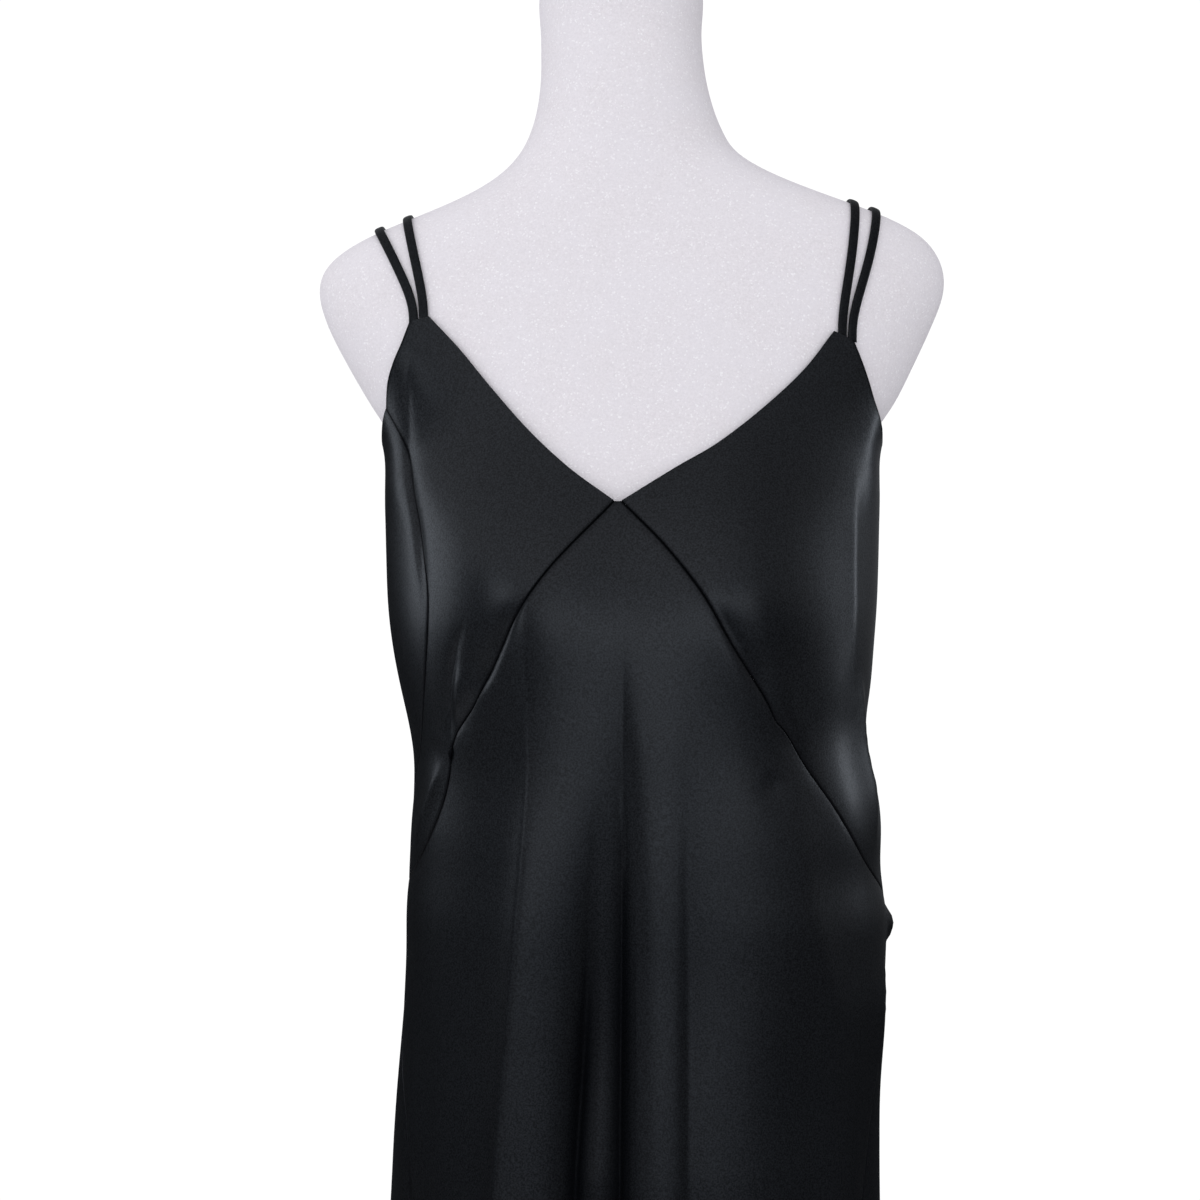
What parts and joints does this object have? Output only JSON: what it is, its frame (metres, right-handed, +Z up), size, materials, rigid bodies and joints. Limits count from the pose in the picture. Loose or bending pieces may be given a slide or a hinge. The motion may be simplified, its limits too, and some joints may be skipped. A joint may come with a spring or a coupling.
{
  "type": "slip dress on a limbless dress form",
  "caption": "Midi slip dress with a V neck, paired thin straps and an angled-seam front panel, hung on a plain limbless dress form with a round-based stand.",
  "frame": {"origin": "on the floor, at the centre of the stand's round base", "axes": "+Z up, the front of the dress faces -Y, +X to the right of a viewer who faces the front"},
  "size_m": [0.4034, 0.33, 1.556],
  "materials": {
    "satin": "near-black blue satin with a soft broad sheen",
    "strap_satin": "the same satin, turned into narrow rolled straps",
    "form_velvet": "pearl white short-pile velvet with a fine glitter",
    "stand_metal": "satin brushed steel"
  },
  "bodies": {
    "root": {"front_skirt": "satin", "bodice_right": "satin", "bodice_left": "satin", "back_panel": "satin", "strap_right_outer": "strap_satin", "strap_right_inner": "strap_satin", "strap_left_inner": "strap_satin", "strap_left_outer": "strap_satin", "form_torso": "form_velvet", "form_flange": "stand_metal", "stand_pole": "stand_metal", "stand_collar": "stand_metal", "stand_base": "stand_metal"}
  },
  "joints": []
}
